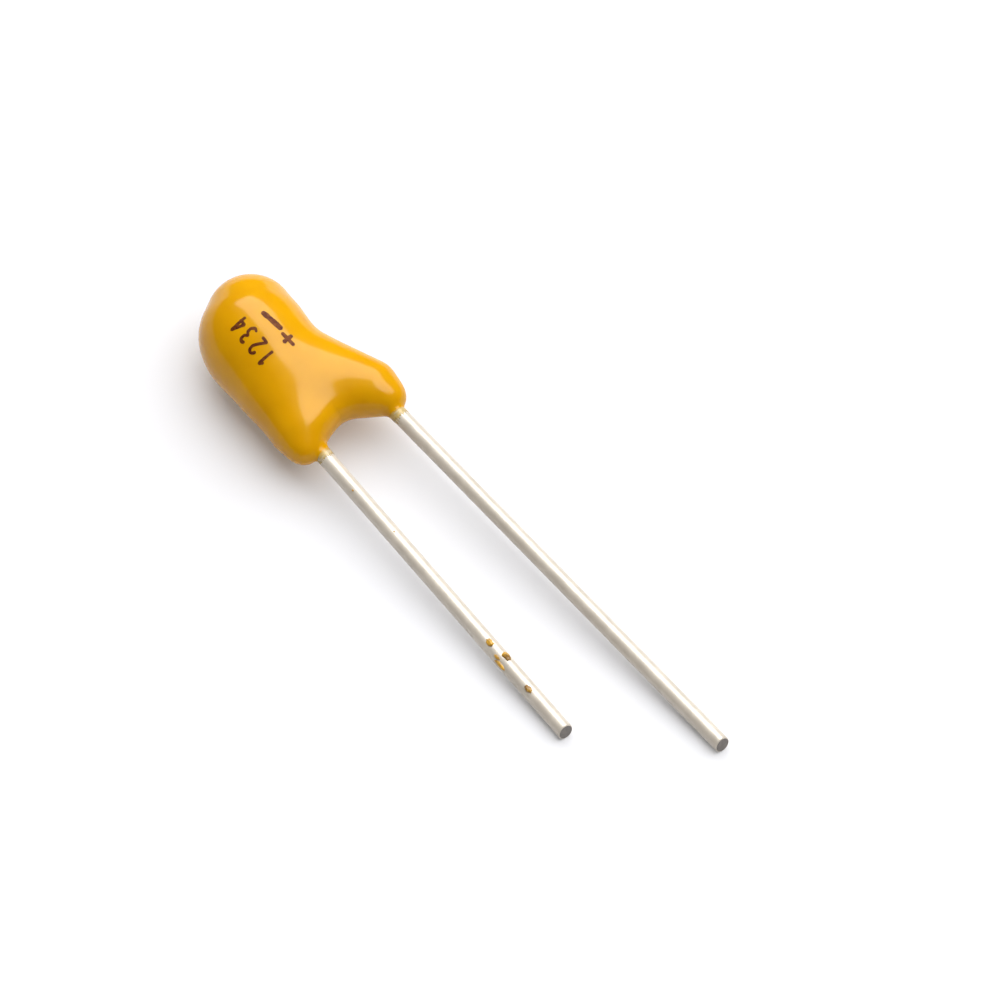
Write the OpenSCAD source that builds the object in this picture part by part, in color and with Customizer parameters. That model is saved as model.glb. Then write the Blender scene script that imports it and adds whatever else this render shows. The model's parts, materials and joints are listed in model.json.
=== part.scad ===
// Dipped tantalum capacitor with two radial leads, lying as it comes to rest on a flat table.
// Millimetres, +Z up. Every piece is drawn in the capacitor's own frame, where x runs from the closed
// end along the negative lead, y points to the positive lead and z = 0 is the plane of both leads.
// The whole is then laid down on three points: the belly of the coat and the tips of both leads.

/* [Leads] */
// Diameter of the tinned lead wires
lead_d = 0.5; // [0.4:0.05:0.6]
// Distance between the two wires where they leave the coat
lead_pitch = 2.54; // [2.3:0.02:2.8]
// Bare length of the negative lead
negative_len = 11.5; // [6:0.5:14]
// Bare length of the positive lead
positive_len = 14.4; // [6:0.1:18]
// Angle by which the positive lead is spread away from the negative one
lead_splay = 3; // [0:0.1:5]
// Length of the flattened stretch that anchors each lead in the coat
flat_len = 0.9; // [0.8:0.05:1]
// Width of that stretch
flat_w = 0.54; // [0.54:0.01:0.58]
// Thickness of that stretch
flat_t = 0.32; // [0.28:0.02:0.36]
// How far inside the coat it ends
flat_inset = 0.1; // [0.08:0.02:0.16]
// Centre-line radius of the two bends that bring the positive lead in to the anode wire
bend_r = 0.5; // [0.4:0.05:0.6]
// Angle that each of those bends turns through
bend_angle = 50; // [45:1:60]
// Slant of the sheared wire ends
shear_angle = 16; // [0:1:30]

/* [Anode] */
// Diameter of the sintered tantalum slug
pellet_d = 1.5; // [1.3:0.05:1.6]
// Length of the slug
pellet_len = 1.8; // [1.5:0.1:2]
// Diameter of the tantalum wire sintered into it
anode_wire_d = 0.25; // [0.2:0.05:0.25]
// Depth to which that wire is sunk in the slug
anode_wire_seat = 0.7; // [0.4:0.1:1]
// Diameter of the washer on the wire
washer_d = 0.9; // [0.7:0.05:1.1]
// Thickness of the washer
washer_t = 0.2; // [0.1:0.05:0.3]
// Gap between the washer and the end of the positive lead
weld_gap = 0.1; // [0.05:0.05:0.2]
// Length over which the anode wire is welded to the positive lead
weld_len = 0.4; // [0.3:0.05:0.5]
// Depth to which the weld presses the two wires into each other
weld_bite = 0.05; // [0.02:0.01:0.08]

/* [Cathode] */
// Thickness of the graphite and silver coat on the slug
silver_t = 0.08; // [0.04:0.01:0.12]
// Bare band of the slug left at the anode wire's end
silver_margin = 0.15; // [0.05:0.05:0.3]
// Length of the negative lead that lies along the slug
solder_len = 1.2; // [0.8:0.1:1.4]
// Thickness of solder round that lead
solder_t = 0.1; // [0.05:0.01:0.15]
// Thickness of solder between that lead and the silver
solder_film = 0.03; // [0.01:0.01:0.04]

/* [Coat] */
// Resin over the slug and lead at the widest part of the bead
bead_t = 0.53; // [0.4:0.01:0.7]
// How much less the bead's radius is at its closed end
bead_taper = 0.28; // [0:0.01:0.32]
// Distance between the centres of the closed end and of the widest part
bead_len = 0.5; // [0.3:0.05:0.8]
// How far the bead sits to the negative side of the slug and its lead
bead_shift = 0.08; // [0:0.01:0.12]
// How far the closed end leans from there towards the positive lead
bead_lean = 0.3; // [0.1:0.01:0.36]
// Resin round each lead in the lobe that the coat forms over it
lobe_t = 0.61; // [0.55:0.01:0.67]
// How far the negative lobe sits to the outer side of its lead
negative_lobe_shift = 0.06; // [0:0.01:0.1]
// How far the positive lobe sits to the inner side of its lead
positive_lobe_shift = 0.12; // [0.04:0.01:0.16]
// Resin round each lead at the lobe's lip, where the lead leaves the coat
lip_t = 0.28; // [0.26:0.01:0.34]
// Distance along the lead from the middle of each lobe to the middle of its lip
lip_reach = 0.6; // [0.5:0.02:0.64]
// How far each lip leans from its lobe to the outer side
lip_lean = 0.23; // [0.1:0.01:0.24]
// Distance from the closed end's centre to the tip of the negative lip
negative_lip_x = 4.82; // [4.7:0.02:4.9]
// How much farther the positive lip reaches
lip_step = 0.28; // [0:0.02:0.3]
// Radius of the resin at the root of the negative leg
negative_root_r = 0.8; // [0.75:0.05:0.95]
// Radius of the resin at the root of the positive leg
positive_root_r = 1.2; // [1:0.05:1.3]
// How far the root of the positive leg sits to the negative side of the anode wire
root_shift = 0.19; // [0:0.01:0.3]
// Radius of the saddle that the resin forms between the two legs
saddle_r = 1.77; // [1.2:0.01:2]
// Radius of the hollow where the legs flow into the bead
neck_r = 0.52; // [0.2:0.02:0.8]
// Radius of the hollow between each lobe and its lip
lip_melt = 0.3; // [0.1:0.05:0.5]

/* [Hidden] */
$fn = 64;
// Ribs of the coat's surface: over the closed end, the trunk, each leg, each lobe and the saddle
CAP_RIBS = 10;
TRUNK_RIBS = 8;
LEG_RIBS = 9;
LOBE_RIBS = 14;
// Steps along each rib, from the plane of the leads to the crest
RIB_STEPS = 10;
// Steps by which a point walks out to the coat's surface
WALK = 26;
// Overlap of each lead's round wire with its flat
FLAT_LAP = 0.1;
// The swell that bending leaves where a bend starts and ends: how much thicker, and how long
SWELL = 0.04;
SWELL_LEN = 0.08;
// How far each cutting form stands out of what it cuts
CUT = 1;

lead_r = lead_d/2;
silver_r = pellet_d/2 + silver_t;
works_r = silver_r + solder_film + lead_r;
negative_y = -lead_pitch/2;
pellet_y = negative_y + works_r;
works_half = silver_r + solder_film/2 + lead_r;
works_y = negative_y - lead_r + works_half;
pellet_x0 = (bead_len - pellet_len)/2;
pellet_x1 = pellet_x0 + pellet_len;
solder_x1 = pellet_x1 - silver_margin;
solder_x0 = solder_x1 - solder_len;
weld_x0 = pellet_x1 + washer_t + weld_gap;
weld_x1 = weld_x0 + weld_len;
weld_plane_y = pellet_y + anode_wire_d/2 - weld_bite/2;
weld_y = weld_plane_y + lead_r - weld_bite/2;

// Centre and radius of each ball that the coat is drawn over
bead_r = works_half + bead_t;
end_r = bead_r - bead_taper;
lobe_r = lead_r + lobe_t;
lip_r = lead_r + lip_t;
bead_c = [bead_len, works_y - bead_shift, 0];
end_c = [0, bead_c.y + bead_lean, 0];
negative_lobe_c = [negative_lip_x - lip_r - lip_reach, negative_y - negative_lobe_shift, 0];
positive_lobe_c = [negative_lobe_c.x + lip_step, lead_pitch/2 - positive_lobe_shift, 0];
negative_lip_c = negative_lobe_c + [lip_reach, -lip_lean, 0];
positive_lip_c = positive_lobe_c + [lip_reach, lip_lean, 0];
negative_root = [solder_x1, negative_y + lead_r, 0];
positive_root = [weld_x0, pellet_y - root_shift, 0];
fork = [(bead_len + negative_lobe_c.x)/2, 0, 0];
mouth = [negative_lip_x + lobe_r, 0, 0];

// ---- the surface of the coat ----

// Distance from p to a round-ended taper between two balls
function taper(p, a, b, ra, rb) =
    let (l = norm(b - a), u = (b - a)/l, y = (p - a)*u, x = norm(p - a - y*u), k = (rb - ra)/l,
         h = min(max((y + x*k/sqrt(1 - k*k))/l, 0), 1))
    norm(p - a - h*l*u) - ra - h*(rb - ra);

// Two distances joined as wet resin joins two forms, with a hollow of about radius r between them
function melt(a, b, r) = min(a, b) - pow(max(r - abs(a - b), 0), 2)/(4*r);

// Distance from p to one leg, which widens from its root into a lobe and ends in a lip round its lead
function leg_gap(p, root, root_r, lobe, lip) =
    melt(taper(p, root, lobe, root_r, lobe_r), norm(p - lip) - lip_r, lip_melt);

// Distance from p to the coat
function coat_gap(p) =
    melt(taper(p, end_c, bead_c, end_r, bead_r),
         melt(leg_gap(p, negative_root, negative_root_r, negative_lobe_c, negative_lip_c),
              leg_gap(p, positive_root, positive_root_r, positive_lobe_c, positive_lip_c), saddle_r),
         neck_r);

// The point where a ray from s, inside the coat, leaves it in direction d
function skin_point(s, d, step = 0) =
    step >= WALK ? s : skin_point(s - d*coat_gap(s), d, step + 1);

// The ray of one rib at its foot: a start inside the coat and a direction in the plane of the leads
function ray(s, angle) = [s, [cos(angle), sin(angle)]];
function ray_to(s, target) = [s, [target.x - s.x, target.y - s.y]/norm(target - s)];
function share(a, b, t) = a + (b - a)*t;

// The feet of all ribs on one side, from the closed end round the lobe to the middle of the saddle
function feet(side, lobe) =
    let (last = ray_to(lobe, mouth)[1], stop = side*atan2(last.y, last.x))
    [for (i = [0:CAP_RIBS - 1]) ray([0, 0, 0], side*(180 - 90*i/CAP_RIBS)),
     for (i = [0:TRUNK_RIBS - 1]) ray(fork*i/TRUNK_RIBS, side*90),
     for (i = [0:LEG_RIBS - 1]) ray(share(fork, lobe, i/LEG_RIBS), side*90),
     for (i = [0:LOBE_RIBS - 1]) ray(lobe, side*share(90, stop, i/LOBE_RIBS)),
     for (i = [0:LEG_RIBS]) ray_to(share(lobe, fork, i/LEG_RIBS), mouth)];

// The points of one quarter: ribs on one side of the middle, above or below the plane of the leads
function quarter(side, lobe, up) =
    [for (f = feet(side, lobe)) for (j = [0:RIB_STEPS])
        let (a = 90*j/RIB_STEPS, d = [f[1].x*cos(a), f[1].y*cos(a), sin(a)], p = skin_point(f[0], d))
        [p.x, p.y, up*p.z]];

QUARTERS = [quarter(1, positive_lobe_c, 1), quarter(1, positive_lobe_c, -1),
            quarter(-1, negative_lobe_c, 1), quarter(-1, negative_lobe_c, -1)];
RIBS = CAP_RIBS + TRUNK_RIBS + LEG_RIBS + LOBE_RIBS + LEG_RIBS + 1;
coat_points = [for (q = QUARTERS) each q];

function whole(t) = coat_points[t[0]] != coat_points[t[1]] && coat_points[t[1]] != coat_points[t[2]]
                    && coat_points[t[2]] != coat_points[t[0]];
coat_faces =
    [for (q = [0:3]) for (i = [0:RIBS - 2]) for (j = [0:RIB_STEPS - 1])
        let (o = q*RIBS*(RIB_STEPS + 1), a = o + i*(RIB_STEPS + 1) + j, b = a + 1,
             c = b + RIB_STEPS + 1, d = c - 1, flip = q == 1 || q == 2)
        for (t = flip ? [[a, d, c], [a, c, b]] : [[a, c, d], [a, b, c]]) if (whole(t)) t];

// ---- how the capacitor lies ----

// Where each lead's bare stretch starts, its direction, and the lowest point of its end
negative_exit = [negative_lip_x, negative_y, 0];
positive_exit = [negative_lip_x + lip_step, lead_pitch/2, 0];
negative_dir = [1, 0, 0];
positive_dir = [cos(lead_splay), sin(lead_splay), 0];
negative_tip = negative_exit + negative_len*negative_dir - [0, 0, lead_r];
positive_tip = positive_exit + positive_len*positive_dir - [0, 0, lead_r];

// The line through both ends, about which the table swings up until it meets the coat
tip_line = (positive_tip - negative_tip)/norm(positive_tip - negative_tip);
back = [-tip_line.y, tip_line.x, 0];
swing = max([for (p = coat_points) atan2(negative_tip.z - p.z, (p - negative_tip)*back)]);
up = cross(tip_line, back*cos(swing) - [0, 0, sin(swing)]);
flat_x = [1, 0, 0] - up*up.x;
along = flat_x/norm(flat_x);
across = cross(up, along);
function turned(p) = [p*along, p*across, p*up];

// The positive lead's stretch between its bends, and what follows the second bend inside the coat
jog_rise = positive_exit.y - weld_y - bend_r*(1 + cos(lead_splay) - 2*cos(bend_angle));
jog_run = positive_exit.x - weld_x1 - bend_r*(2*sin(bend_angle) - sin(lead_splay));
jog_len = (jog_rise*cos(lead_splay) - jog_run*sin(lead_splay))/sin(bend_angle - lead_splay);
buried_len = (jog_run*sin(bend_angle) - jog_rise*cos(bend_angle))/sin(bend_angle - lead_splay);

// The origin is under the middle of the whole, on the table
laid = [for (p = coat_points) turned(p)];
laid_tips = [turned(negative_tip), turned(positive_tip)];
reach_x = [min([for (p = laid) p.x]), laid_tips[1].x];
reach_y = [min([for (p = laid) p.y]), laid_tips[1].y + lead_r];
origin = [(reach_x[0] + reach_x[1])/2, (reach_y[0] + reach_y[1])/2, laid_tips[0].z];

module lie()
    translate(-origin)
        multmatrix([[along.x, along.y, along.z, 0],
                    [across.x, across.y, across.z, 0],
                    [up.x, up.y, up.z, 0]])
            children();

// ---- wires ----

// A straight stretch of round wire along x, with what follows it at its end
module run(d, length) {
    rotate([0, 90, 0]) cylinder(d = d, h = length);
    translate([length, 0, 0]) children();
}

// A bend of the wire in the plane of the leads, with what follows it at its end
module bend(d, r, angle) {
    s = sign(angle);
    translate([0, s*r, 0]) rotate([0, 0, s > 0 ? -90 : 90 + angle])
        rotate_extrude(angle = abs(angle)) translate([r, 0]) circle(d = d);
    swell(d);
    translate([0, s*r, 0]) rotate([0, 0, angle]) translate([0, -s*r, 0]) {
        swell(d);
        children();
    }
}

// The slight swell of the wire where a bend starts or ends
module swell(d) translate([-SWELL_LEN/2, 0, 0]) rotate([0, 90, 0]) cylinder(d = d + SWELL, h = SWELL_LEN);

// The last straight stretch of a lead, sheared on a slant that leaves its lower edge the longest
module tip_run(length) {
    difference() {
        run(lead_d, length);
        translate([length, 0, -lead_r]) rotate([0, -shear_angle, 0])
            translate([0, -lead_d, -lead_d]) cube([lead_d, 2*lead_d, 3*lead_d]);
    }
}

// The end of a lead: its round stretch in the coat, the flat that anchors it there, the bare stretch
module anchored_run(buried, bare) {
    flat_x = buried - flat_inset - flat_len;
    run(lead_d, flat_x + FLAT_LAP);
    translate([flat_x, -flat_w/2, -flat_t/2]) cube([flat_len, flat_w, flat_t]);
    translate([buried - flat_inset - FLAT_LAP, 0, 0]) tip_run(bare + flat_inset + FLAT_LAP);
}

// A round bar along x from x0 to x1 at height y
module bar(d, x0, x1, y)
    translate([x0, y, 0]) rotate([0, 90, 0]) cylinder(d = d, h = x1 - x0);

// ---- the pieces ----

module tantalum_pellet() {
    color("#4a4a4f") difference() {
        bar(pellet_d, pellet_x0, pellet_x1, pellet_y);
        bar(anode_wire_d, pellet_x1 - anode_wire_seat, pellet_x1 + CUT, pellet_y);
    }
}

module anode_wire() {
    color("#8a8c92") difference() {
        bar(anode_wire_d, pellet_x1 - anode_wire_seat, weld_x1, pellet_y);
        translate([weld_x0, weld_plane_y, -lead_r]) cube([2*weld_len, anode_wire_d, lead_d]);
    }
}

module ptfe_washer() {
    color("#f2f2ee") difference() {
        bar(washer_d, pellet_x1, pellet_x1 + washer_t, pellet_y);
        bar(anode_wire_d, pellet_x1 - CUT, pellet_x1 + CUT, pellet_y);
    }
}

module silver_coat() {
    color("#c9cbcc") difference() {
        bar(2*silver_r, pellet_x0 - silver_t, solder_x1, pellet_y);
        bar(pellet_d, pellet_x0, pellet_x1 + CUT, pellet_y);
    }
}

module solder_joint() {
    color("#b4b6b8") difference() {
        bar(lead_d + 2*solder_t, solder_x0, solder_x1, negative_y);
        bar(lead_d, solder_x0 - CUT, solder_x1 + CUT, negative_y);
        bar(2*silver_r, pellet_x0 - CUT, solder_x1 + CUT, pellet_y);
    }
}

module negative_lead() {
    color("#c9bfb0") translate([solder_x0, negative_y, 0])
        anchored_run(negative_exit.x - solder_x0, negative_len);
}

module positive_lead() {
    color("#c9bfb0") {
        difference() {
            bar(lead_d, weld_x0, weld_x1, weld_y);
            translate([weld_x0 - CUT, weld_plane_y - lead_d, -lead_d])
                cube([weld_len + 2*CUT, lead_d, 2*lead_d]);
        }
        translate([weld_x1, weld_y, 0])
            bend(lead_d, bend_r, bend_angle) run(lead_d, jog_len)
                bend(lead_d, bend_r, lead_splay - bend_angle) anchored_run(buried_len, positive_len);
    }
}

// What the coat closes round, with no hollow in it
module works() {
    bar(2*silver_r, pellet_x0 - silver_t, solder_x1, pellet_y);
    bar(pellet_d, pellet_x0, pellet_x1, pellet_y);
    bar(washer_d, pellet_x0, pellet_x1 + washer_t, pellet_y);
    bar(lead_d + 2*solder_t, solder_x0, solder_x1, negative_y);
    anode_wire();
    negative_lead();
    positive_lead();
}

module resin_coat() {
    color("#f2ab0c") difference() {
        polyhedron(coat_points, coat_faces);
        works();
    }
}

lie() resin_coat();
lie() tantalum_pellet();
lie() anode_wire();
lie() ptfe_washer();
lie() silver_coat();
lie() solder_joint();
lie() negative_lead();
lie() positive_lead();
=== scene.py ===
"""Dipped tantalum capacitor: a glossy resin bead with its bare tinned leads, lying on a pale table.

The forms are worked out in the capacitor's own frame, in millimetres: x runs from the closed end along
the negative lead, y points to the positive lead, and z = 0 is the plane of both leads.
"""
import json
import math

import bmesh
import bpy
import numpy as np
from mathutils import Matrix, Vector, noise


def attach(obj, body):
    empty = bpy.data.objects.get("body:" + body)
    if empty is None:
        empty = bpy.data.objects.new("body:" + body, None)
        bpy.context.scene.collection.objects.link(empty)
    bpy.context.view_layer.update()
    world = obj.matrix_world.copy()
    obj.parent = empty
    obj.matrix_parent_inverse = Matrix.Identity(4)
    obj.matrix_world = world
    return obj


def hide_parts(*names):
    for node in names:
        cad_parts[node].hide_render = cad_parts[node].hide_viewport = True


MM = 0.001

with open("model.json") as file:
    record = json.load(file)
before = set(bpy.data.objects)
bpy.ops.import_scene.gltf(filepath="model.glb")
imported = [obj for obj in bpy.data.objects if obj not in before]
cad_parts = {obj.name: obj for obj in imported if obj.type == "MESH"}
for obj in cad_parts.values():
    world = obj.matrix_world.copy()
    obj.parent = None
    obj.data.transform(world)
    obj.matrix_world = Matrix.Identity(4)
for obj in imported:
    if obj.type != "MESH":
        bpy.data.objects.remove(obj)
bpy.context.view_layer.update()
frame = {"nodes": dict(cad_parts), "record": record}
nodes = frame["nodes"]

# ---- sizes in the capacitor's own frame, in millimetres ----

LEAD_R = 0.25
NEGATIVE_Y = -1.27
POSITIVE_Y = 1.27
NEGATIVE_EXIT_X = 4.82
POSITIVE_EXIT_X = 5.1
NEGATIVE_BARE = 11.5
POSITIVE_BARE = 14.4
SPLAY = math.radians(3)
PIN_INSET = 0.3  # the record states each pin that far inside its free end
SHEAR = math.tan(math.radians(16))
TIP_CHAMFER = 0.015
TIP_R = LEAD_R - TIP_CHAMFER

# The coat's round-ended tapers: start, end, radius at the start, radius at the end
BEAD = ((0.0, -0.205, 0.0), (0.5, -0.505, 0.0), 1.345, 1.625)
NEGATIVE_LEG = ((1.0, -1.02, 0.0), (3.69, -1.33, 0.0), 0.8, 0.86)
POSITIVE_LEG = ((1.45, -0.35, 0.0), (3.97, 1.15, 0.0), 1.2, 0.86)
# The lip at the end of each leg: its middle and radius
NEGATIVE_LIP = ((4.29, -1.56, 0.0), 0.53)
POSITIVE_LIP = ((4.57, 1.38, 0.0), 0.53)
LIP_MELT = 0.3
SADDLE_R = 1.77
NECK_R = 0.52
# The small collar round each lead: where it starts and ends before the exit, and its rise there
COLLAR_START, COLLAR_END = 0.4, 0.02
COLLAR_FOOT, COLLAR_EDGE = 0.05, 0.01
COLLAR_MELT = 0.12
# The route of the leads inside the coat
NEGATIVE_START_X = -0.2
WELD = (1.45, 0.165)  # where the positive lead starts, on the anode wire
WELD_LEN = 0.4
BEND_R = 0.5
BEND = math.radians(50)
JOG_LEN = 0.84238


def own_frame():
    """The own frame's axes as the rows of a 3x3, and its origin, both in the row frame and in mm."""
    pins = {m["name"]: m for m in frame["record"]["mounts"]}
    x = Vector(pins["negative_pin"]["axis"]).normalized()
    z = x.cross(Vector(pins["positive_pin"]["axis"])).normalized()
    y = z.cross(x)
    tip = Vector(pins["negative_pin"]["pos_m"]) / MM
    start = tip - x * (NEGATIVE_EXIT_X + NEGATIVE_BARE - PIN_INSET) - y * NEGATIVE_Y
    return np.array([x, y, z]), np.array(start)


AXES, START = own_frame()


def laid(points):
    """Points of the capacitor's own frame, in mm, to the row frame, in metres."""
    return (np.asarray(points, float) @ AXES + START) * MM


# ---- camera ----

AZIMUTH, ELEVATION = math.radians(51.38), math.radians(58.16)
IMAGE_SIZE = 1000
PX_PER_MM = 33.8
START_PIXEL = (256.4, 315.3)  # where the own frame's origin falls in the picture
DISTANCE = 300  # from the aim to the camera, in mm
SENSOR = 36


def make_camera():
    """A long lens, aimed so that the own frame's origin falls on START_PIXEL."""
    level = math.cos(ELEVATION)
    back = Vector((math.sin(AZIMUTH) * level, -math.cos(AZIMUTH) * level, math.sin(ELEVATION)))
    right = Vector((math.cos(AZIMUTH), math.sin(AZIMUTH), 0))
    up = back.cross(right)
    across = (IMAGE_SIZE / 2 - START_PIXEL[0]) / PX_PER_MM
    down = (IMAGE_SIZE / 2 - START_PIXEL[1]) / PX_PER_MM
    aim = Vector(START) + right * across - up * down
    data = bpy.data.cameras.new("camera")
    data.sensor_width = SENSOR
    data.lens = PX_PER_MM * SENSOR * DISTANCE / IMAGE_SIZE
    data.clip_start, data.clip_end = 0.01, 10
    cam = bpy.data.objects.new("camera", data)
    turn = Matrix((right, up, back)).transposed().to_4x4()
    cam.matrix_world = Matrix.Translation((aim + back * DISTANCE) * MM) @ turn
    bpy.context.scene.collection.objects.link(cam)
    bpy.context.scene.camera = cam


# ---- the coat as a distance form ----

def taper_gap(p, a, b, ra, rb):
    """Distance from points to a round-ended taper, less than nought inside it."""
    a, b = np.array(a), np.array(b)
    length = np.linalg.norm(b - a)
    u = (b - a) / length
    y = (p - a) @ u
    x = np.linalg.norm(p - a - y[:, None] * u, axis=1)
    k = (rb - ra) / length
    h = np.clip((y + x * k / math.sqrt(1 - k * k)) / length, 0, 1)
    return np.linalg.norm(p - a - (h * length)[:, None] * u, axis=1) - ra - h * (rb - ra)


def melt(a, b, r):
    """Two distance forms as one, with a fillet where they meet that grows with r."""
    return np.minimum(a, b) - np.maximum(r - np.abs(a - b), 0) ** 2 / (4 * r)


def lead_line(side):
    """Where a lead leaves the coat, and its direction. Side is -1 for the negative lead, else 1."""
    if side < 0:
        return np.array([NEGATIVE_EXIT_X, NEGATIVE_Y, 0.0]), np.array([1.0, 0.0, 0.0])
    return np.array([POSITIVE_EXIT_X, POSITIVE_Y, 0.0]), np.array([math.cos(SPLAY), math.sin(SPLAY), 0.0])


def across_lead(along):
    """The level direction to the left of a lead."""
    return np.array([-along[1], along[0], 0.0])


def collar(side):
    """The resin's small collar round a lead, as a taper."""
    exit_point, along = lead_line(side)
    start, end = exit_point - COLLAR_START * along, exit_point - COLLAR_END * along
    return start, end, LEAD_R + COLLAR_FOOT, LEAD_R + COLLAR_EDGE


def leg_gap(p, leg, lip):
    """Distance to one leg with its lip."""
    centre, radius = lip
    return melt(taper_gap(p, *leg), np.linalg.norm(p - np.array(centre), axis=1) - radius, LIP_MELT)


def coat_gap(p):
    """Distance to the whole coat."""
    legs = melt(leg_gap(p, NEGATIVE_LEG, NEGATIVE_LIP), leg_gap(p, POSITIVE_LEG, POSITIVE_LIP), SADDLE_R)
    coat = melt(taper_gap(p, *BEAD), legs, NECK_R)
    for side in (-1, 1):
        coat = melt(coat, taper_gap(p, *collar(side)), COLLAR_MELT)
    return coat


def slope(gap, p, step=0.002):
    """The way out of a distance form at each point."""
    rise = [(gap(p + step * e) - gap(p - step * e)) / (2 * step) for e in np.eye(3)]
    return np.stack(rise, axis=1)


def onto(gap, p, rounds):
    """Points walked on to the surface where gap is nought."""
    for _ in range(rounds):
        g = slope(gap, p)
        p = p - (gap(p) / np.maximum((g * g).sum(axis=1), 0.05))[:, None] * g
    return p


# ---- mesh building ----

def new_piece(name, verts, faces, smooth=True):
    """A mesh object that rides on the part's one body."""
    mesh = bpy.data.meshes.new(name)
    mesh.from_pydata([tuple(v) for v in verts], [], faces)
    mesh.validate()
    mesh.update()
    if smooth:
        mesh.shade_smooth()
    piece = bpy.data.objects.new(name, mesh)
    bpy.context.scene.collection.objects.link(piece)
    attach(piece, "root")
    return piece


RELAX_ROUNDS = 12


def even_skin(gap, balls, voxel):
    """A closed even mesh of the form, grown from a voxel remesh of balls that roughly fill it."""
    bm = bmesh.new()
    for centre, radius in balls:
        bmesh.ops.create_icosphere(bm, subdivisions=4, radius=radius, matrix=Matrix.Translation(centre))
    rough = bpy.data.meshes.new("rough")
    bm.to_mesh(rough)
    bm.free()
    ball = bpy.data.objects.new("rough", rough)
    bpy.context.scene.collection.objects.link(ball)
    remesh = ball.modifiers.new("remesh", "REMESH")
    remesh.mode = "VOXEL"
    remesh.voxel_size = voxel
    made = bpy.data.meshes.new_from_object(ball.evaluated_get(bpy.context.evaluated_depsgraph_get()))
    bpy.data.objects.remove(ball)
    p = np.empty(len(made.vertices) * 3)
    made.vertices.foreach_get("co", p)
    p = onto(gap, p.reshape(-1, 3), 10)
    edges = np.empty(len(made.edges) * 2, int)
    made.edges.foreach_get("vertices", edges)
    edges = edges.reshape(-1, 2)
    count = np.bincount(edges.ravel(), minlength=len(p))[:, None]
    # Each round moves every point halfway to the middle of its neighbours and back on to the surface
    for _ in range(RELAX_ROUNDS):
        total = np.zeros_like(p)
        np.add.at(total, edges[:, 0], p[edges[:, 1]])
        np.add.at(total, edges[:, 1], p[edges[:, 0]])
        p = onto(gap, 0.5 * p + 0.5 * total / count, 1)
    p = onto(gap, p, 3)
    return p, [tuple(f.vertices) for f in made.polygons]


def chain(a, b, ra, rb, count=12):
    """A row of balls that roughly fills a taper."""
    a, b = np.array(a), np.array(b)
    return [(tuple(a + (b - a) * t), ra + (rb - ra) * t) for t in np.linspace(0, 1, count)]


SADDLE_FILL = ((0.8, -0.4, 0), (3.2, -0.06, 0), 1.3, 0.6)  # fills the web between the legs
SKIN_VOXEL = 0.06


def build_coat():
    """The coat's smooth skin."""
    balls = chain(*BEAD) + chain(*NEGATIVE_LEG) + chain(*POSITIVE_LEG) + [NEGATIVE_LIP, POSITIVE_LIP]
    balls += chain(*SADDLE_FILL)
    for side in (-1, 1):
        balls += chain(*collar(side), 5)
    p, faces = even_skin(coat_gap, balls, SKIN_VOXEL)
    return new_piece("resin_skin", laid(p), faces)


AROUND = 40  # points round a lead


def ring_faces(first, second):
    """The faces between two rings of AROUND points, given the first point of each."""
    faces = []
    for j in range(AROUND):
        k = (j + 1) % AROUND
        faces.append((first + j, first + k, second + k, second + j))
    return faces


def end_faces(last):
    """The two flat ends of a run of rings, given the first point of the last ring."""
    return [tuple(range(AROUND))[::-1], tuple(last + j for j in range(AROUND))]


def tube(path, name):
    """A round wire through (centre, direction, radius, lean) stations; a lean slants the station."""
    verts, faces = [], []
    turn = np.linspace(0, 2 * math.pi, AROUND, endpoint=False)
    for centre, along, radius, lean in path:
        ring = centre + radius * np.outer(np.cos(turn), across_lead(along))
        ring = ring + radius * np.outer(np.sin(turn), [0, 0, 1.0])
        verts.extend(ring - lean * np.outer(radius + radius * np.sin(turn), along))
    for i in range(len(path) - 1):
        faces += ring_faces(i * AROUND, (i + 1) * AROUND)
    faces += end_faces((len(path) - 1) * AROUND)
    return new_piece(name, laid(verts), faces)


def arc(start, direction, radius, turn, count=8):
    """The (place, direction) stations round a bend from start."""
    sign = math.copysign(1, turn)
    heading = math.atan2(direction[1], direction[0])
    centre = start + radius * sign * across_lead(direction)
    stations = []
    for t in np.linspace(0, turn, count)[1:]:
        d = np.array([math.cos(heading + t), math.sin(heading + t), 0.0])
        stations.append((centre - radius * sign * across_lead(d), d))
    return stations


WIRE_STEP = 0.25
TIP_RUN = 0.2  # from the last upright station to the free end
CHAMFER_RUN = 0.03  # from the last full station to the free end


def wire_path(points, bare):
    """Stations of a lead: those inside the coat, then the bare stretch to its sheared tip."""
    path = [(p, d, LEAD_R, 0) for p, d in points]
    exit_point, along = points[-1]
    for s in np.arange(WIRE_STEP, bare - TIP_RUN - WIRE_STEP / 2, WIRE_STEP):
        path.append((exit_point + s * along, along, LEAD_R, 0))
    path.append((exit_point + (bare - TIP_RUN) * along, along, LEAD_R, 0))
    path.append((exit_point + (bare - CHAMFER_RUN) * along, along, LEAD_R, SHEAR))
    path.append((exit_point + bare * along, along, TIP_R, SHEAR))
    return path


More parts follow.
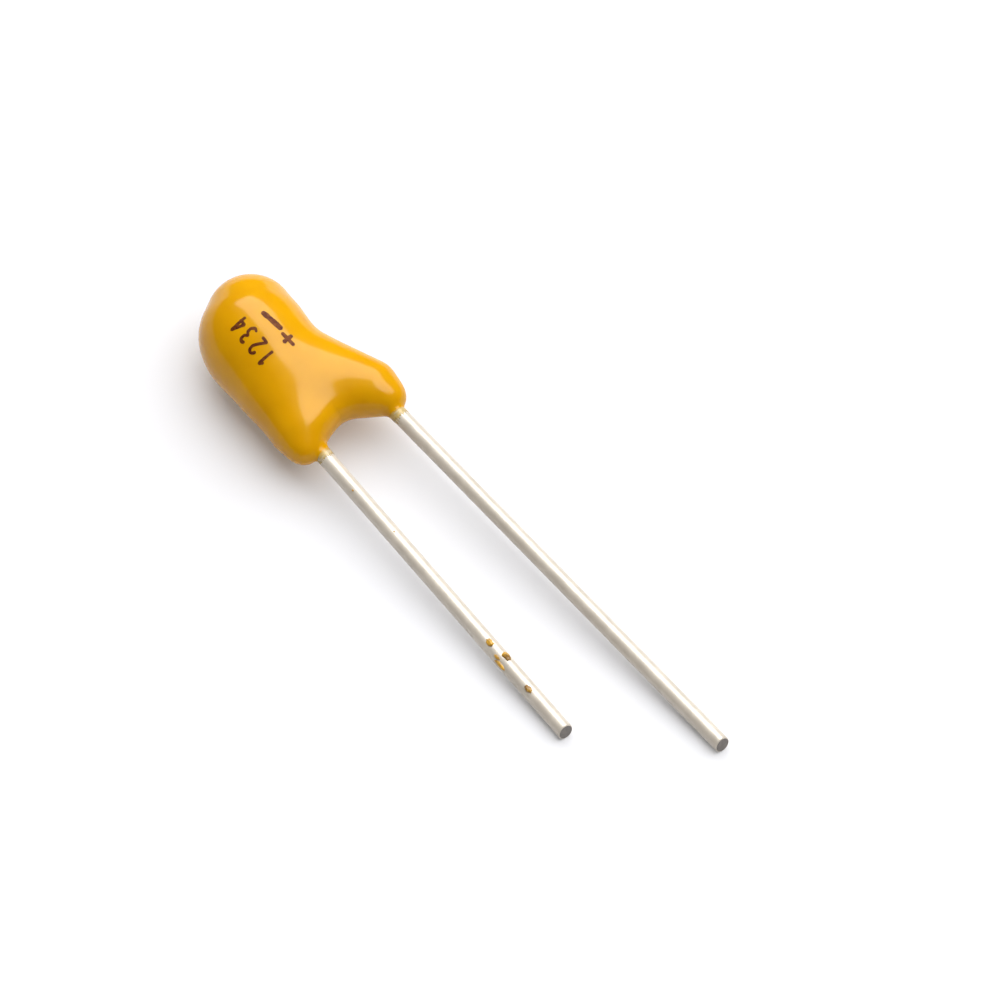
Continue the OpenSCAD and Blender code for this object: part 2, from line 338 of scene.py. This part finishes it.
def build_leads():
    """Both leads with their whole routes; the positive one jogs out from its weld."""
    exit_point, along = lead_line(-1)
    inside = [(np.array([NEGATIVE_START_X, NEGATIVE_Y, 0.0]), along), (exit_point, along)]
    negative = tube(wire_path(inside, NEGATIVE_BARE), "negative_wire")
    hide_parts("negative_lead")
    exit_point, along = lead_line(1)
    level = np.array([1.0, 0, 0])
    start = np.array([*WELD, 0.0])
    points = [(start, level), (start + WELD_LEN * level, level)]
    points += arc(points[-1][0], level, BEND_R, BEND)
    p, d = points[-1]
    points.append((p + JOG_LEN * d, d))
    points += arc(points[-1][0], d, BEND_R, SPLAY - BEND)
    points.append((exit_point, along))
    positive = tube(wire_path(points, POSITIVE_BARE), "positive_wire")
    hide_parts("positive_lead")
    return negative, positive


# ---- resin left on the leads ----

FILM_AROUND = 64
FILM_REACH = 0.4
FILM_T = 0.012
# The film's section: how far along, as a share of its reach, or in mm before the exit, and its rise
FILM_SECTION = ((-0.35, 0.02), (0.0, FILM_T), (0.5, 0.8 * FILM_T), (0.85, 0.6 * FILM_T), (1.0, 0.0),
                (0.5, -0.02))


def film_reach(angle, side):
    """How far the film reaches along the lead, ragged in broad tongues and fine teeth."""
    x, y = math.cos(angle), math.sin(angle)
    tongues = noise.noise(Vector((2.2 * x, 2.2 * y, 5 + side))) ** 2
    teeth = abs(noise.noise(Vector((6 * x, 6 * y, side))))
    return FILM_REACH * (0.45 + 1.1 * tongues + 0.6 * teeth)


def ragged_film(name, side):
    """The thin skin of resin that creeps out along a lead, with a ragged free edge."""
    exit_point, along = lead_line(side)
    across = across_lead(along)
    rows = len(FILM_SECTION)
    verts, faces = [], []
    for a in np.linspace(0, 2 * math.pi, FILM_AROUND, endpoint=False):
        out = math.cos(a) * across + math.sin(a) * np.array([0, 0, 1.0])
        reach = film_reach(a, side)
        for t, rise in FILM_SECTION:
            verts.append(exit_point + along * (t * reach if t > 0 else t) + out * (LEAD_R + rise))
    for j in range(FILM_AROUND):
        k = (j + 1) % FILM_AROUND
        for i in range(rows):
            n = (i + 1) % rows
            faces.append((j * rows + i, k * rows + i, k * rows + n, j * rows + n))
    return new_piece(name, laid(verts), faces)


# Resin flecks on the negative lead: distance from the coat, angle round the wire, length, width, rise
FLECKS = ((7.93, 86, 0.28, 0.17, 0.05), (8.56, 112, 0.3, 0.19, 0.1), (8.4, 58, 0.2, 0.1, 0.04),
          (8.62, 36, 0.5, 0.13, 0.035), (9.77, 76, 0.26, 0.17, 0.06), (1.56, 66, 0.07, 0.06, 0.02),
          (3.37, 94, 0.06, 0.05, 0.02))


def lumpy(co, n):
    """A point of a unit ball, pushed in or out of round, differently for each fleck."""
    broad = noise.noise(Vector(co) * 1.7 + Vector((n, 0, 0)))
    fine = noise.noise(Vector(co) * 5)
    return (Vector(co) * (1 + 0.45 * broad + 0.15 * fine))[:]


def build_flecks():
    """Small lumps of cured resin stuck on the wire, each a flattened ball pushed out of round."""
    exit_point, along = lead_line(-1)
    across = np.array([0.0, 1.0, 0.0])
    bm = bmesh.new()
    for n, (far, angle, length, width, rise) in enumerate(FLECKS):
        a = math.radians(angle)
        out = -math.cos(a) * across + math.sin(a) * np.array([0, 0, 1.0])
        round_wire = np.cross(along, out)
        ball = bmesh.ops.create_icosphere(bm, subdivisions=3, radius=1.0)
        for v in ball["verts"]:
            x, y, z = lumpy(v.co, n)
            spot = exit_point + along * (far + x * length / 2) + round_wire * y * width / 2
            v.co = spot + out * (math.sqrt(max(LEAD_R ** 2 - (y * width / 2) ** 2, 0)) + z * rise)
    mesh = bpy.data.meshes.new("resin_flecks")
    bm.to_mesh(mesh)
    bm.free()
    verts = [v.co[:] for v in mesh.vertices]
    faces = [tuple(f.vertices) for f in mesh.polygons]
    return new_piece("resin_flecks", laid(verts), faces)


# The cut face's rings: share of the tip's radius, and how far it stands out of the tip, in mm
CUT_RINGS = ((0.93, -0.05), (0.93, 0.004), (0.8, 0.008), (0.3, 0.008))


def cut_end(name, side, bare):
    """The sheared face at a lead's free end, where the bare core of the wire shows."""
    exit_point, along = lead_line(side)
    across = across_lead(along)
    verts, faces = [], []
    for step, (shrink, proud) in enumerate(CUT_RINGS):
        for a in np.linspace(0, 2 * math.pi, AROUND, endpoint=False):
            high = math.sin(a) * TIP_R * shrink
            spot = exit_point + along * (bare + proud - SHEAR * (TIP_R + high))
            verts.append(spot + across * math.cos(a) * TIP_R * shrink + np.array([0, 0, high]))
        if step:
            faces += ring_faces((step - 1) * AROUND, step * AROUND)
    faces += end_faces(step * AROUND)
    return new_piece(name, laid(verts), faces, smooth=False)


# ---- the print on the coat ----

PEN = 0.092  # width of a printed line, in mm
DIGIT_HIGH = 0.55
DIGIT_WIDE = 0.72 * DIGIT_HIGH
DIGIT_PITCH = 0.42
DIGITS_FROM = (1.83, -1.0)  # the middle of the first digit, in the plane of the leads
BAR_LINE, BAR_WIDTH = [(0.66, -0.25), (1.44, -0.1)], 0.17
CROSS_LINES, CROSS_WIDTH = [[(1.5, -0.17), (2.02, -0.1)], [(1.78, -0.33), (1.72, 0.06)]], 0.12
INK_RISE = 0.004
INK_ROOT = 0.02  # how deep the ink's closed mesh reaches into the coat
INK_STEP = 0.02
ABOVE_COAT = 2.2
# Pen lines of each digit on a field 1 high, from its middle
PEN_LINES = {
    "1": [[(-0.2, 0.26), (0.04, 0.5), (0.04, -0.5)]],
    "2": [[(-0.26, 0.24), (-0.16, 0.43), (0.02, 0.5), (0.2, 0.42), (0.25, 0.22), (0.14, 0.0),
           (-0.27, -0.5), (0.3, -0.5)]],
    "3": [[(-0.24, 0.38), (-0.04, 0.5), (0.18, 0.42), (0.2, 0.18), (-0.04, 0.05), (0.2, -0.06),
           (0.26, -0.3), (0.04, -0.5), (-0.26, -0.4)]],
    "4": [[(0.14, -0.5), (0.14, 0.5), (-0.28, -0.18), (0.3, -0.18)]],
}


def coat_top(x, y):
    """The place on the coat right above a point in the plane of the leads."""
    p = np.stack([np.asarray(x, float), np.asarray(y, float), np.full(len(x), ABOVE_COAT)], axis=1)
    for _ in range(60):
        p[:, 2] -= coat_gap(p)
    return p


def pen_path(line):
    """A pen line in even steps with its corners rounded, and how far along it each point is."""
    line = [Vector(q) for q in line]
    path = []
    for a, b in zip(line, line[1:]):
        count = max(2, int((b - a).length / INK_STEP))
        path += [a.lerp(b, i / count) for i in range(count)]
    path.append(line[-1])
    for _ in range(2):
        middle = [(a + 2 * b + c) / 4 for a, b, c in zip(path, path[1:], path[2:])]
        path = [path[0]] + middle + [path[-1]]
    run = [0.0]
    for a, b in zip(path, path[1:]):
        run.append(run[-1] + (b - a).length)
    return path, run


def ink_line(line, width, verts, faces):
    """One closed ink line with round ends and a slightly uneven width, laid over the coat."""
    path, run = pen_path(line)
    half = width / 2
    left, right = [], []
    for i, q in enumerate(path):
        ahead = (path[min(i + 1, len(path) - 1)] - path[max(i - 1, 0)]).normalized()
        end = min(run[i], run[-1] - run[i]) / half
        round_end = math.sqrt(max(1 - (1 - min(end, 1)) ** 2, 0.02))
        uneven = 1 + 0.22 * noise.noise(Vector((q.x * 9, q.y * 9, 3)))
        side = Vector((-ahead.y, ahead.x)) * half * round_end * uneven
        left.append(q + side)
        right.append(q - side)
    both = left + right
    skin = coat_top([q.x for q in both], [q.y for q in both])
    normal = slope(coat_gap, skin)
    normal /= np.linalg.norm(normal, axis=1)[:, None]
    base, n = len(verts), len(path)
    verts.extend(skin + INK_RISE * normal)
    verts.extend(skin - INK_ROOT * normal)
    # Left and right edges on top, then below
    lt, rt, lb, rb = (base + n * k for k in range(4))
    for i in range(n - 1):
        faces.append((lt + i, rt + i, rt + i + 1, lt + i + 1))
        faces.append((lb + i, lb + i + 1, rb + i + 1, rb + i))
        faces.append((lt + i, lt + i + 1, lb + i + 1, lb + i))
        faces.append((rt + i, rb + i, rb + i + 1, rt + i + 1))
    faces.append((lt, lb, rb, rt))
    faces.append((lt + n - 1, rt + n - 1, rb + n - 1, lb + n - 1))


def printed(name, lines, width):
    """One piece of print from its pen lines."""
    verts, faces = [], []
    for line in lines:
        ink_line(line, width, verts, faces)
    return new_piece(name, laid(verts), faces, smooth=False)


def build_print():
    """A plain number, read towards the closed end, and the bar and cross that mark the positive side."""
    lines = []
    for n, digit in enumerate("1234"):
        x, y = DIGITS_FROM[0] - DIGIT_PITCH * n, DIGITS_FROM[1]
        for line in PEN_LINES[digit]:
            lines.append([(x - DIGIT_WIDE * u, y - DIGIT_HIGH * v) for u, v in line])
    return [printed("printed_number", lines, PEN),
            printed("polarity_bar", [BAR_LINE], BAR_WIDTH),
            printed("polarity_cross", CROSS_LINES, CROSS_WIDTH)]


# ---- materials ----

def linear(colour):
    """An sRGB hex colour as linear RGBA."""
    parts = [int(colour[i:i + 2], 16) / 255 for i in (1, 3, 5)]
    return tuple(c / 12.92 if c <= 0.04045 else ((c + 0.055) / 1.055) ** 2.4 for c in parts) + (1.0,)


def per(size_mm):
    """The pattern scale that gives marks of a real size, on object coordinates in metres."""
    return 1 / (size_mm * MM)


def add(tree, kind, sockets=None, **settings):
    """A node with its settings; a socket's value is a number, a colour or another node's output."""
    made = tree.nodes.new(kind)
    for key, value in settings.items():
        setattr(made, key, value)
    for key, value in (sockets or {}).items():
        if isinstance(value, bpy.types.NodeSocket):
            tree.links.new(value, made.inputs[key])
        else:
            made.inputs[key].default_value = value
    return made


def start_material(name):
    """An empty material and its node tree."""
    mat = bpy.data.materials.new(name)
    mat.use_nodes = True
    mat.node_tree.nodes.clear()
    return mat, mat.node_tree


def finish_material(tree, shader):
    add(tree, "ShaderNodeOutputMaterial", {"Surface": shader.outputs[0]})


def dipped_epoxy():
    """Yellow-orange powder-filled epoxy, dipped and cured: a deep wet gloss over a slightly uneven skin."""
    mat, tree = start_material("dipped_epoxy")
    place = add(tree, "ShaderNodeTexCoord").outputs["Object"]
    cloud = add(tree, "ShaderNodeTexNoise", {"Vector": place, "Scale": per(1.11), "Detail": 3.0})
    tone = add(tree, "ShaderNodeValToRGB", {"Fac": cloud.outputs["Fac"]})
    deep, pale = tone.color_ramp.elements
    deep.position, deep.color = 0.3, linear("#cd9100")
    pale.position, pale.color = 0.7, linear("#d59902")
    ripple = add(tree, "ShaderNodeTexNoise", {"Vector": place, "Scale": per(0.667), "Detail": 2.0})
    bump = add(tree, "ShaderNodeBump", {
        "Height": ripple.outputs["Fac"], "Strength": 0.12, "Distance": 0.02 * MM})
    shader = add(tree, "ShaderNodeBsdfPrincipled", {
        "Base Color": tone.outputs["Color"], "Roughness": 0.15, "IOR": 1.55, "Specular IOR Level": 0.2,
        "Normal": bump.outputs["Normal"], "Subsurface Weight": 0.1, "Subsurface Radius": (1.0, 0.4, 0.05),
        "Subsurface Scale": 0.3 * MM})
    finish_material(tree, shader)
    return mat


def tinned_wire():
    """Dip-tinned copper wire: a pale warm grey, as a film of oxide dulls the tin, with a satin gloss line."""
    mat, tree = start_material("tinned_wire")
    place = add(tree, "ShaderNodeTexCoord").outputs["Object"]
    patches = add(tree, "ShaderNodeTexNoise", {"Vector": place, "Scale": per(0.385), "Detail": 4.0})
    tone = add(tree, "ShaderNodeValToRGB", {"Fac": patches.outputs["Fac"]})
    dull, bright = tone.color_ramp.elements
    dull.position, dull.color = 0.25, linear("#c4bbad")
    bright.position, bright.color = 0.75, linear("#d3cabc")
    rough = add(tree, "ShaderNodeMapRange", {
        "Value": patches.outputs["Fac"], "To Min": 0.32, "To Max": 0.42})
    bump = add(tree, "ShaderNodeBump", {
        "Height": patches.outputs["Fac"], "Strength": 0.15, "Distance": 0.01 * MM})
    shader = add(tree, "ShaderNodeBsdfPrincipled", {
        "Base Color": tone.outputs["Color"], "Metallic": 0.2, "Roughness": rough.outputs["Result"],
        "Normal": bump.outputs["Normal"]})
    finish_material(tree, shader)
    return mat


def grainy(name, dark, light, metallic, roughness, grain_mm):
    """A hidden piece's finish: two close tones in grains of a real size."""
    mat, tree = start_material(name)
    place = add(tree, "ShaderNodeTexCoord").outputs["Object"]
    grain = add(tree, "ShaderNodeTexNoise", {"Vector": place, "Scale": per(grain_mm), "Detail": 3.0})
    tone = add(tree, "ShaderNodeValToRGB", {"Fac": grain.outputs["Fac"]})
    low, high = tone.color_ramp.elements
    low.position, low.color = 0.3, linear(dark)
    high.position, high.color = 0.7, linear(light)
    bump = add(tree, "ShaderNodeBump", {
        "Height": grain.outputs["Fac"], "Strength": 0.3, "Distance": grain_mm * MM / 4})
    shader = add(tree, "ShaderNodeBsdfPrincipled", {
        "Base Color": tone.outputs["Color"], "Metallic": metallic, "Roughness": roughness,
        "Normal": bump.outputs["Normal"]})
    finish_material(tree, shader)
    return mat


def printing_ink():
    """Dark brown pad-printing ink, worn thin in spots so that the yellow shows through."""
    mat, tree = start_material("printing_ink")
    place = add(tree, "ShaderNodeTexCoord").outputs["Object"]
    wear = add(tree, "ShaderNodeTexNoise", {"Vector": place, "Scale": per(0.111), "Detail": 4.0})
    tone = add(tree, "ShaderNodeValToRGB", {"Fac": wear.outputs["Fac"]})
    full, thin = tone.color_ramp.elements
    full.position, full.color = 0.35, linear("#4a1a02")
    thin.position, thin.color = 0.8, linear("#80460a")
    shader = add(tree, "ShaderNodeBsdfPrincipled", {
        "Base Color": tone.outputs["Color"], "Roughness": 0.5, "Specular IOR Level": 0.12})
    finish_material(tree, shader)
    return mat


def thin_resin():
    """The same epoxy where it is only a film: pale straw, half clear, so that the tin shows through."""
    mat, tree = start_material("thin_resin")
    place = add(tree, "ShaderNodeTexCoord").outputs["Object"]
    patch = add(tree, "ShaderNodeTexNoise", {"Vector": place, "Scale": per(0.2), "Detail": 3.0})
    cover = add(tree, "ShaderNodeMapRange", {
        "Value": patch.outputs["Fac"], "From Min": 0.3, "From Max": 0.7, "To Min": 0.25, "To Max": 0.75})
    shader = add(tree, "ShaderNodeBsdfPrincipled", {
        "Base Color": linear("#d2b562"), "Roughness": 0.3, "Alpha": cover.outputs["Result"]})
    finish_material(tree, shader)
    return mat


def fleck_resin():
    """Cured drips of the epoxy: dull ochre to brown, as dirt sticks to them."""
    mat, tree = start_material("fleck_resin")
    place = add(tree, "ShaderNodeTexCoord").outputs["Object"]
    dirt = add(tree, "ShaderNodeTexNoise", {"Vector": place, "Scale": per(0.25), "Detail": 3.0})
    tone = add(tree, "ShaderNodeValToRGB", {"Fac": dirt.outputs["Fac"]})
    dirty, clean = tone.color_ramp.elements
    dirty.position, dirty.color = 0.4, linear("#8a6424")
    clean.position, clean.color = 0.6, linear("#d6a436")
    shader = add(tree, "ShaderNodeBsdfPrincipled", {"Base Color": tone.outputs["Color"], "Roughness": 0.35})
    finish_material(tree, shader)
    return mat


def cut_core():
    """The sheared core of the wire: dull dark grey metal, roughened by the shear."""
    mat, tree = start_material("cut_core")
    place = add(tree, "ShaderNodeTexCoord").outputs["Object"]
    torn = add(tree, "ShaderNodeTexNoise", {"Vector": place, "Scale": per(0.143), "Detail": 3.0})
    tone = add(tree, "ShaderNodeValToRGB", {"Fac": torn.outputs["Fac"]})
    dark, light = tone.color_ramp.elements
    dark.color, light.color = linear("#625e5c"), linear("#948e88")
    bump = add(tree, "ShaderNodeBump", {
        "Height": torn.outputs["Fac"], "Strength": 0.5, "Distance": 0.01 * MM})
    shader = add(tree, "ShaderNodeBsdfPrincipled", {
        "Base Color": tone.outputs["Color"], "Metallic": 0.7, "Roughness": 0.6,
        "Normal": bump.outputs["Normal"]})
    finish_material(tree, shader)
    return mat


def dress(piece, mat):
    """Give a piece its one material."""
    piece.data.materials.clear()
    piece.data.materials.append(mat)


# ---- stage ----

def make_floor():
    """A white card, with a faint painted glow that stands in for fill light and lifts the shadows on it."""
    mesh = bpy.data.meshes.new("table")
    mesh.from_pydata([(-1, -1, 0), (1, -1, 0), (1, 1, 0), (-1, 1, 0)], [], [(0, 1, 2, 3)])
    table = bpy.data.objects.new("table", mesh)
    bpy.context.scene.collection.objects.link(table)
    mat, tree = start_material("white_card_painted_glow")
    # The emission is painted light: an even glow that lightens the card's shadows, as a fill lamp would.
    shader = add(tree, "ShaderNodeBsdfPrincipled", {
        "Base Color": linear("#cdcdd0"), "Roughness": 0.7, "Specular IOR Level": 0.2,
        "Emission Color": linear("#ffffff"), "Emission Strength": 0.16})
    finish_material(tree, shader)
    mesh.materials.append(mat)


def area_light(name, place, size, radiance, glossy, diffuse):
    """A rectangular lamp that faces down, seen by the glossy or the diffuse side of the surfaces."""
    data = bpy.data.lights.new(name, "AREA")
    data.shape, data.size, data.size_y = "RECTANGLE", *size
    data.energy = radiance * math.pi * size[0] * size[1]
    lamp = bpy.data.objects.new(name, data)
    lamp.location = place
    lamp.visible_glossy, lamp.visible_diffuse = glossy, diffuse
    bpy.context.scene.collection.objects.link(lamp)


def make_light():
    """A long soft box behind the part for its gloss, and a window light and a pale ceiling for the rest."""
    world = bpy.data.worlds.new("studio")
    world.use_nodes = True
    background = world.node_tree.nodes["Background"]
    background.inputs["Color"].default_value = linear("#ffffff")
    background.inputs["Strength"].default_value = 0.1
    bpy.context.scene.world = world
    area_light("soft_box", (-0.11, 0.17, 0.3), (0.8, 0.3), 5.6, True, False)
    area_light("window_light", (-0.15, 0.35, 0.45), (1.1, 0.9), 2.66, False, True)
    area_light("ceiling", (-0.8, 1.5, 1.2), (6, 4), 0.31, False, True)
    bpy.context.scene.view_settings.view_transform = "Standard"


make_camera()
make_floor()
make_light()

epoxy, wire = dipped_epoxy(), tinned_wire()
coat = build_coat()
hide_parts("resin_coat")
dress(coat, epoxy)
dress(nodes["resin_coat"], epoxy)
for lead in build_leads():
    dress(lead, wire)
ink, film, core = printing_ink(), thin_resin(), cut_core()
for mark in build_print():
    dress(mark, ink)
dress(ragged_film("negative_film", -1), film)
dress(ragged_film("positive_film", 1), film)
dress(build_flecks(), fleck_resin())
dress(cut_end("negative_cut_end", -1, NEGATIVE_BARE), core)
dress(cut_end("positive_cut_end", 1, POSITIVE_BARE), core)
for name in ("negative_lead", "positive_lead"):
    dress(nodes[name], wire)
# Sintered tantalum is dull and dark, silver paint matt and pale, tin solder bright, the washer plain white
dress(nodes["tantalum_pellet"], grainy("sintered_tantalum", "#3c3c42", "#55555c", 0.6, 0.7, 0.05))
dress(nodes["anode_wire"], grainy("tantalum_wire", "#7c7e86", "#92949c", 1.0, 0.35, 0.03))
dress(nodes["ptfe_washer"], grainy("ptfe", "#ecece8", "#f6f6f2", 0.0, 0.55, 0.08))
dress(nodes["silver_coat"], grainy("silver_paint", "#b4b6b8", "#cfd1d2", 0.8, 0.5, 0.04))
dress(nodes["solder_joint"], grainy("tin_solder", "#a8aaad", "#c2c4c6", 1.0, 0.3, 0.1))
